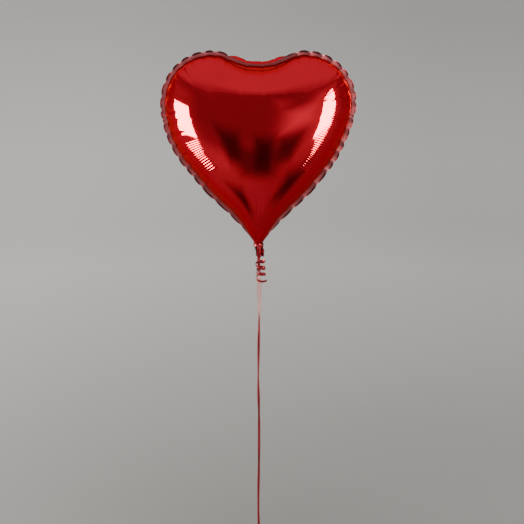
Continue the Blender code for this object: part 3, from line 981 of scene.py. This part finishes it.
# What the foil mirrors, as name, azimuths and elevations from the heart in degrees, distance,
# colour and how much of the card its soft edge takes
CARDS = (
    ("camera_side_wall", (-110, 110), (-36, 42), 3.6, (0.28, 0.28, 0.28), 0.26),
    ("left_glow", (-104, -40), (-46, 30), 1.35, (0.62, 0.58, 0.52), 0.46),
    ("right_glow", (26, 92), (-44, 38), 1.35, (0.80, 0.75, 0.68), 0.46),
    ("shelves", (-36, -8), (-42, 8), 1.1, (0.045, 0.045, 0.045), 0.42),
    ("low_table", (-34, 34), (-48, -10), 1.05, (0.10, 0.10, 0.10), 0.40),
    ("doorway", (-8, 17), (-46, 6), 1.0, (0.045, 0.045, 0.045), 0.42),
    ("corner", (12, 40), (-38, -2), 1.1, (0.09, 0.09, 0.09), 0.45),
    ("lit_wall", (4, 56), (-12, 25), 2.4, (1.15, 1.11, 1.07), 0.48),
    ("lit_floor", (-45, 45), (-80, -46), 1.0, (0.46, 0.46, 0.46), 0.40),
    ("dim_floor_left", (-70, -22), (-76, -46), 1.1, (0.06, 0.06, 0.06), 0.46),
    ("dim_floor_right", (30, 84), (-68, -34), 1.1, (0.045, 0.045, 0.045), 0.46),
)

CAMERA_PLACE = (0.0071, -3.0, 1.41)
CAMERA_TILT_DOWN = 14.39
CAMERA_LENS, CAMERA_SENSOR = 103.7, 36.0


def paper_material():
    """Plain matt paper with painted shade and light: greyer near the middle of the floor, paler far
    off, and greyer upwards and towards one side.
    """
    material, nodes, links, shader = new_material("studio_paper_painted_shade")
    place = object_place(nodes, links)
    split = nodes.new("ShaderNodeSeparateXYZ")
    links.new(place, split.inputs["Vector"])
    flat = nodes.new("ShaderNodeVectorMath")
    flat.operation = "LENGTH"
    links.new(place, flat.inputs[0])
    far_off = remap(nodes, links, flat.outputs["Value"], 0.1, 2.5, 0.0, 1.0)
    paper = mix_colours(nodes, links, far_off, PAPER_NEAR_SHADE, PAPER_FAR_LIGHT)
    sideways = remap(nodes, links, split.outputs["X"], -0.8, 0.8, 0.0, 1.0)
    upwards = remap(nodes, links, split.outputs["Z"], 0.15, 0.75, 0.0, 1.0)
    lit_side = mix_colours(nodes, links, upwards, SHADE_NONE, SHADE_SOME)
    dim_side = mix_colours(nodes, links, upwards, SHADE_SOME, SHADE_MOST)
    shaded = mix_colours(nodes, links, sideways, lit_side, dim_side)
    links.new(mix_colours(nodes, links, 1.0, paper, shaded, "MULTIPLY"),
              shader.inputs["Base Color"])
    add_bump(nodes, links, shader, noise(nodes, links, 900.0, 2.0, place), 0.05, 0.001)
    set_inputs(shader, Roughness=0.9, Specular_IOR_Level=0.1)
    return material


def backdrop():
    """A round seamless studio: pale floor curving up into a pale wall, open above."""
    cove_start = ROOM_RADIUS - COVE_RADIUS
    profile = [(radius, 0.0) for radius in np.linspace(0.0, cove_start, 12)]
    profile += [(cove_start + COVE_RADIUS * math.sin(turn), COVE_RADIUS * (1.0 - math.cos(turn)))
                for turn in np.linspace(0.0, 0.5 * math.pi, 24)[1:]]
    profile += [(ROOM_RADIUS, height) for height in np.linspace(COVE_RADIUS, ROOM_HEIGHT, 8)[1:]]
    points = [(0.0, 0.0, FLOOR_Z)]
    for radius, height in profile[1:]:
        for step in range(ROOM_SIDES):
            angle = 2.0 * math.pi * step / ROOM_SIDES
            points.append((radius * math.cos(angle), radius * math.sin(angle), FLOOR_Z + height))
    faces = [(0, 1 + step, 1 + (step + 1) % ROOM_SIDES) for step in range(ROOM_SIDES)]
    faces += grid_faces(len(profile) - 1, ROOM_SIDES, first=1, closed=True)
    mesh_object("studio_backdrop", points, faces, paper_material())


def ceiling():
    world = bpy.data.worlds.new("soft_ceiling")
    world.use_nodes = True
    set_inputs(world.node_tree.nodes["Background"], Color=CEILING_COLOUR,
               Strength=CEILING_STRENGTH)
    bpy.context.scene.world = world


def softbox(name, place, target, size, energy):
    light = bpy.data.lights.new(name, "AREA")
    light.shape = "RECTANGLE"
    light.size, light.size_y = size
    light.energy = energy
    light.color = SOFTBOX_COLOUR
    item = link(bpy.data.objects.new(name, light))
    item.location = place
    aim = Vector(target) - item.location
    item.rotation_euler = aim.to_track_quat("-Z", "Y").to_euler()
    item.visible_camera = False
    return item


def card_material(name, tone):
    """A plain glow that is only there as far as the mesh's cover says."""
    material = bpy.data.materials.new(name)
    material.use_nodes = True
    nodes, links = material.node_tree.nodes, material.node_tree.links
    nodes.clear()
    output = nodes.new("ShaderNodeOutputMaterial")
    card = nodes.new("ShaderNodeEmission")
    card.inputs["Color"].default_value = (*tone, 1.0)
    clear = nodes.new("ShaderNodeBsdfTransparent")
    mixed = nodes.new("ShaderNodeMixShader")
    links.new(painted(nodes, "cover"), mixed.inputs["Fac"])
    links.new(clear.outputs["BSDF"], mixed.inputs[1])
    links.new(card.outputs["Emission"], mixed.inputs[2])
    links.new(mixed.outputs["Shader"], output.inputs["Surface"])
    return material


def glossy_card(name, azimuths, elevations, distance, tone, soft):
    """A soft-edged card that fills these directions from the heart and shows only in its mirror."""
    points, covers = [], []
    shares = np.linspace(0.0, 1.0, CARD_STEPS + 1)
    for v in shares:
        elevation = math.radians(elevations[0] + (elevations[1] - elevations[0]) * v)
        reach = distance
        if elevation < 0.0:
            reach = min(distance, (HEART_HEIGHT - CARD_FLOOR_GAP) / -math.sin(elevation))
        for u in shares:
            azimuth = math.radians(azimuths[0] + (azimuths[1] - azimuths[0]) * u)
            points.append((reach * math.cos(elevation) * math.sin(azimuth),
                           -reach * math.cos(elevation) * math.cos(azimuth),
                           HEART_HEIGHT + reach * math.sin(elevation)))
            inside = min(u, 1.0 - u, v, 1.0 - v)
            covers.append(CARD_COVER * float(smooth_step(inside / soft)))
    faces = grid_faces(CARD_STEPS + 1, CARD_STEPS + 1, flipped=True)
    item = mesh_object(name, points, faces, card_material(name, tone))
    paint(item, "cover", covers)
    item.visible_camera = False
    item.visible_diffuse = False
    item.visible_shadow = False
    item.visible_transmission = False


def studio():
    backdrop()
    ceiling()
    for strip in STRIPS:
        softbox(*strip).visible_diffuse = False
    for soft in REAR_SOFTS:
        softbox(*soft)
    softbox(*KEY_SOFT).visible_glossy = False
    for card in CARDS:
        glossy_card(*card)


def camera():
    data = bpy.data.cameras.new("camera")
    data.sensor_width = CAMERA_SENSOR
    data.lens = CAMERA_LENS
    item = link(bpy.data.objects.new("camera", data))
    item.location = CAMERA_PLACE
    item.rotation_euler = (math.radians(90.0 - CAMERA_TILT_DOWN), 0.0, 0.0)
    bpy.context.scene.camera = item


def attach(piece, body, slot, *nodes):
    """Let a piece ride on a body and hide the CAD nodes it replaces; slot is not used."""
    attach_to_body(piece, body)
    if nodes:
        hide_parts(*nodes)
    return piece


def main():
    foil = foil_material("mirror_red_foil", FOIL_DEEP, FOIL_BRIGHT)
    # Painted shade: the gathered tail gets a darker copy of the same foil, standing in for the
    # shade in its folds
    crumpled = foil_material("crumpled_foil_painted_shade", CRUMPLE_SHADE_DEEP, CRUMPLE_SHADE_BRIGHT)
    ribbon, film = ribbon_material(), film_material()
    front_skin, rear_skin = build_heart(foil)
    attach(front_skin, "balloon", "red_foil", "front_foil_panel")
    attach(rear_skin, "balloon", "red_foil", "rear_foil_panel")
    attach(gathered_tail(crumpled), "balloon", "red_foil")
    for side, node in ((-1, "front_valve_film"), (1, "rear_valve_film")):
        strip = valve_film(node + "_strip", node, side, film)
        attach(strip, "balloon", "clear_film", node)
    wrap = attach(neck_wrap(ribbon), "balloon", "red_ribbon", "neck_wrap")
    neck = attach(knot("neck_knot_tied", NECK_KNOT, NECK_KNOT_RADIUS, ribbon),
                  "upper_knot", "red_ribbon", "neck_knot")
    tether_strip, tether_path = tether(ribbon)
    attach(tether_strip, "ribbon", "red_ribbon", "tether_ribbon")
    end = attach(knot("end_knot_tied", END_KNOT, END_KNOT_RADIUS, ribbon),
                 "lower_knot", "red_ribbon", "end_knot")
    loop = attach(end_loop(ribbon), "loop", "red_ribbon", "end_loop")
    curl_strip, curl_path = curl(ribbon)
    attach(curl_strip, "curl", "red_ribbon", "curl_lead", "curled_ribbon_end")
    studio()
    camera()


main()
